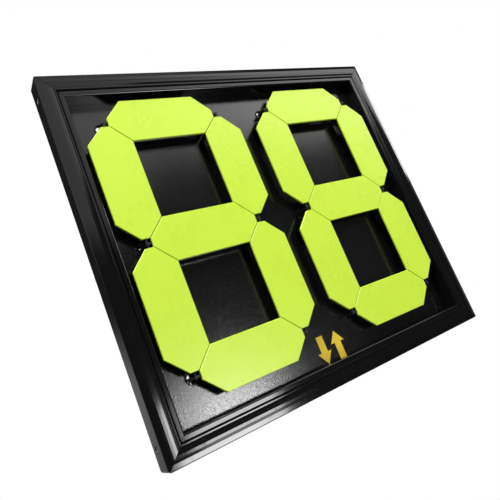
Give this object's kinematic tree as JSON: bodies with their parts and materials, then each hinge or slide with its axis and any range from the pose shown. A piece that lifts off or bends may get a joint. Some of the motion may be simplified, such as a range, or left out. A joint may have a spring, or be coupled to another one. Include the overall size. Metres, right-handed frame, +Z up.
{
  "type": "substitution board",
  "caption": "Manual substitution board: hexagonal flaps turn over on pivots to show digits on either face of a black panel in a moulded frame",
  "frame": {"origin": "middle of the bottom edge of the bounding box, on the mid-plane of the panel", "axes": "+X to the viewer's right along the width, -Y out of the front face with the yellow-green digits, +Z up"},
  "size_m": [0.446, 0.0402, 0.387],
  "materials": {
    "frame": "glossy black moulding",
    "panel": "black with a fine leather grain",
    "pivots": "plain black moulding",
    "keys": "plain",
    "screws": "bright zinc",
    "front_flaps": "fluorescent yellow-green face, black reverse",
    "back_flaps": "fluorescent red face, black reverse"
  },
  "bodies": {
    "board": {"front_bar_bottom": "frame", "front_bar_top": "frame", "front_bar_left": "frame", "front_bar_right": "frame", "rear_rail_bottom": "frame", "rear_rail_top": "frame", "rear_stile_left": "frame", "rear_stile_right": "frame", "panel": "panel", "pivot_post_left_top_left": "pivots", "pivot_post_left_top_right": "pivots", "pivot_post_left_middle_left": "pivots", "pivot_post_left_middle_right": "pivots", "pivot_post_left_bottom_left": "pivots", "pivot_post_left_bottom_right": "pivots", "pivot_post_right_top_left": "pivots", "pivot_post_right_top_right": "pivots", "pivot_post_right_middle_left": "pivots", "pivot_post_right_middle_right": "pivots", "pivot_post_right_bottom_left": "pivots", "pivot_post_right_bottom_right": "pivots", "corner_key_lower_left": "keys", "corner_key_upper_left": "keys", "corner_key_lower_right": "keys", "corner_key_upper_right": "keys", "side_screw_lower_left": "screws", "side_screw_upper_left": "screws", "side_screw_lower_right": "screws", "side_screw_upper_right": "screws"},
    "front_tens_top": {"front_tens_top_flap": "front_flaps"},
    "front_tens_upper_left": {"front_tens_upper_left_flap": "front_flaps"},
    "front_tens_upper_right": {"front_tens_upper_right_flap": "front_flaps"},
    "front_tens_middle": {"front_tens_middle_flap": "front_flaps"},
    "front_tens_lower_left": {"front_tens_lower_left_flap": "front_flaps"},
    "front_tens_lower_right": {"front_tens_lower_right_flap": "front_flaps"},
    "front_tens_bottom": {"front_tens_bottom_flap": "front_flaps"},
    "front_ones_top": {"front_ones_top_flap": "front_flaps"},
    "front_ones_upper_left": {"front_ones_upper_left_flap": "front_flaps"},
    "front_ones_upper_right": {"front_ones_upper_right_flap": "front_flaps"},
    "front_ones_middle": {"front_ones_middle_flap": "front_flaps"},
    "front_ones_lower_left": {"front_ones_lower_left_flap": "front_flaps"},
    "front_ones_lower_right": {"front_ones_lower_right_flap": "front_flaps"},
    "front_ones_bottom": {"front_ones_bottom_flap": "front_flaps"},
    "back_tens_top": {"back_tens_top_flap": "back_flaps"},
    "back_tens_upper_left": {"back_tens_upper_left_flap": "back_flaps"},
    "back_tens_upper_right": {"back_tens_upper_right_flap": "back_flaps"},
    "back_tens_middle": {"back_tens_middle_flap": "back_flaps"},
    "back_tens_lower_left": {"back_tens_lower_left_flap": "back_flaps"},
    "back_tens_lower_right": {"back_tens_lower_right_flap": "back_flaps"},
    "back_tens_bottom": {"back_tens_bottom_flap": "back_flaps"},
    "back_ones_top": {"back_ones_top_flap": "back_flaps"},
    "back_ones_upper_left": {"back_ones_upper_left_flap": "back_flaps"},
    "back_ones_upper_right": {"back_ones_upper_right_flap": "back_flaps"},
    "back_ones_middle": {"back_ones_middle_flap": "back_flaps"},
    "back_ones_lower_left": {"back_ones_lower_left_flap": "back_flaps"},
    "back_ones_lower_right": {"back_ones_lower_right_flap": "back_flaps"},
    "back_ones_bottom": {"back_ones_bottom_flap": "back_flaps"}
  },
  "joints": [
    {"name": "turn_front_tens_top", "type": "hinge", "parent": "board", "child": "front_tens_top", "pos_m": [-0.1025, -0.01335, 0.3321], "axis": [1, 0, 0], "range_deg": [0, 180]},
    {"name": "turn_front_tens_upper_left", "type": "hinge", "parent": "board", "child": "front_tens_upper_left", "pos_m": [-0.16945, -0.01335, 0.26515], "axis": [0, 0, 1], "range_deg": [0, 180]},
    {"name": "turn_front_tens_upper_right", "type": "hinge", "parent": "board", "child": "front_tens_upper_right", "pos_m": [-0.03555, -0.01335, 0.26515], "axis": [0, 0, 1], "range_deg": [0, 180]},
    {"name": "turn_front_tens_middle", "type": "hinge", "parent": "board", "child": "front_tens_middle", "pos_m": [-0.1025, -0.01335, 0.1982], "axis": [1, 0, 0], "range_deg": [0, 180]},
    {"name": "turn_front_tens_lower_left", "type": "hinge", "parent": "board", "child": "front_tens_lower_left", "pos_m": [-0.16945, -0.01335, 0.13125], "axis": [0, 0, 1], "range_deg": [0, 180]},
    {"name": "turn_front_tens_lower_right", "type": "hinge", "parent": "board", "child": "front_tens_lower_right", "pos_m": [-0.03555, -0.01335, 0.13125], "axis": [0, 0, 1], "range_deg": [0, 180]},
    {"name": "turn_front_tens_bottom", "type": "hinge", "parent": "board", "child": "front_tens_bottom", "pos_m": [-0.1025, -0.01335, 0.0643], "axis": [1, 0, 0], "range_deg": [0, 180]},
    {"name": "turn_front_ones_top", "type": "hinge", "parent": "board", "child": "front_ones_top", "pos_m": [0.1025, -0.01335, 0.3321], "axis": [1, 0, 0], "range_deg": [0, 180]},
    {"name": "turn_front_ones_upper_left", "type": "hinge", "parent": "board", "child": "front_ones_upper_left", "pos_m": [0.03555, -0.01335, 0.26515], "axis": [0, 0, 1], "range_deg": [0, 180]},
    {"name": "turn_front_ones_upper_right", "type": "hinge", "parent": "board", "child": "front_ones_upper_right", "pos_m": [0.16945, -0.01335, 0.26515], "axis": [0, 0, 1], "range_deg": [0, 180]},
    {"name": "turn_front_ones_middle", "type": "hinge", "parent": "board", "child": "front_ones_middle", "pos_m": [0.1025, -0.01335, 0.1982], "axis": [1, 0, 0], "range_deg": [0, 180]},
    {"name": "turn_front_ones_lower_left", "type": "hinge", "parent": "board", "child": "front_ones_lower_left", "pos_m": [0.03555, -0.01335, 0.13125], "axis": [0, 0, 1], "range_deg": [0, 180]},
    {"name": "turn_front_ones_lower_right", "type": "hinge", "parent": "board", "child": "front_ones_lower_right", "pos_m": [0.16945, -0.01335, 0.13125], "axis": [0, 0, 1], "range_deg": [0, 180]},
    {"name": "turn_front_ones_bottom", "type": "hinge", "parent": "board", "child": "front_ones_bottom", "pos_m": [0.1025, -0.01335, 0.0643], "axis": [1, 0, 0], "range_deg": [0, 180]},
    {"name": "turn_back_tens_top", "type": "hinge", "parent": "board", "child": "back_tens_top", "pos_m": [0.1025, 0.01335, 0.3321], "axis": [1, 0, 0], "range_deg": [0, 180]},
    {"name": "turn_back_tens_upper_left", "type": "hinge", "parent": "board", "child": "back_tens_upper_left", "pos_m": [0.16945, 0.01335, 0.26515], "axis": [0, 0, 1], "range_deg": [0, 180]},
    {"name": "turn_back_tens_upper_right", "type": "hinge", "parent": "board", "child": "back_tens_upper_right", "pos_m": [0.03555, 0.01335, 0.26515], "axis": [0, 0, 1], "range_deg": [0, 180]},
    {"name": "turn_back_tens_middle", "type": "hinge", "parent": "board", "child": "back_tens_middle", "pos_m": [0.1025, 0.01335, 0.1982], "axis": [1, 0, 0], "range_deg": [0, 180]},
    {"name": "turn_back_tens_lower_left", "type": "hinge", "parent": "board", "child": "back_tens_lower_left", "pos_m": [0.16945, 0.01335, 0.13125], "axis": [0, 0, 1], "range_deg": [0, 180]},
    {"name": "turn_back_tens_lower_right", "type": "hinge", "parent": "board", "child": "back_tens_lower_right", "pos_m": [0.03555, 0.01335, 0.13125], "axis": [0, 0, 1], "range_deg": [0, 180]},
    {"name": "turn_back_tens_bottom", "type": "hinge", "parent": "board", "child": "back_tens_bottom", "pos_m": [0.1025, 0.01335, 0.0643], "axis": [1, 0, 0], "range_deg": [0, 180]},
    {"name": "turn_back_ones_top", "type": "hinge", "parent": "board", "child": "back_ones_top", "pos_m": [-0.1025, 0.01335, 0.3321], "axis": [1, 0, 0], "range_deg": [0, 180]},
    {"name": "turn_back_ones_upper_left", "type": "hinge", "parent": "board", "child": "back_ones_upper_left", "pos_m": [-0.03555, 0.01335, 0.26515], "axis": [0, 0, 1], "range_deg": [0, 180]},
    {"name": "turn_back_ones_upper_right", "type": "hinge", "parent": "board", "child": "back_ones_upper_right", "pos_m": [-0.16945, 0.01335, 0.26515], "axis": [0, 0, 1], "range_deg": [0, 180]},
    {"name": "turn_back_ones_middle", "type": "hinge", "parent": "board", "child": "back_ones_middle", "pos_m": [-0.1025, 0.01335, 0.1982], "axis": [1, 0, 0], "range_deg": [0, 180]},
    {"name": "turn_back_ones_lower_left", "type": "hinge", "parent": "board", "child": "back_ones_lower_left", "pos_m": [-0.03555, 0.01335, 0.13125], "axis": [0, 0, 1], "range_deg": [0, 180]},
    {"name": "turn_back_ones_lower_right", "type": "hinge", "parent": "board", "child": "back_ones_lower_right", "pos_m": [-0.16945, 0.01335, 0.13125], "axis": [0, 0, 1], "range_deg": [0, 180]},
    {"name": "turn_back_ones_bottom", "type": "hinge", "parent": "board", "child": "back_ones_bottom", "pos_m": [-0.1025, 0.01335, 0.0643], "axis": [1, 0, 0], "range_deg": [0, 180]}
  ]
}
